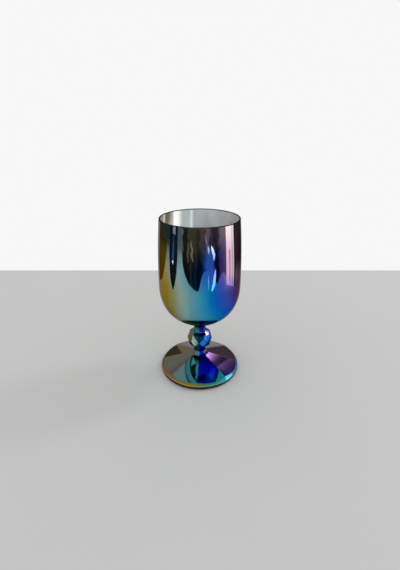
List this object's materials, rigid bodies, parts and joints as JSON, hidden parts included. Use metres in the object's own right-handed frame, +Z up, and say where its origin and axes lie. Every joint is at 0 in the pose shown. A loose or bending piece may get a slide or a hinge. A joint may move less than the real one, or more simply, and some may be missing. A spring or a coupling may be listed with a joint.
{
  "type": "water goblet",
  "caption": "Stemmed water goblet with a tall rounded bowl, a short stem with a facet-cut knop and a facet-cut round foot, in lustred glass.",
  "frame": {"origin": "centre of the plane that the foot stands on", "axes": "+Z up along the stem and bowl; one ridge of the foot's facets points along -Y"},
  "size_m": [0.0822, 0.0822, 0.1632],
  "materials": {
    "lustred_glass": "polished glass with a thin iridescent metallic lustre, blue-green to gold and magenta"
  },
  "bodies": {
    "root": {"bowl": "lustred_glass", "upper_neck": "lustred_glass", "knop": "lustred_glass", "lower_neck": "lustred_glass", "foot": "lustred_glass"}
  },
  "joints": []
}
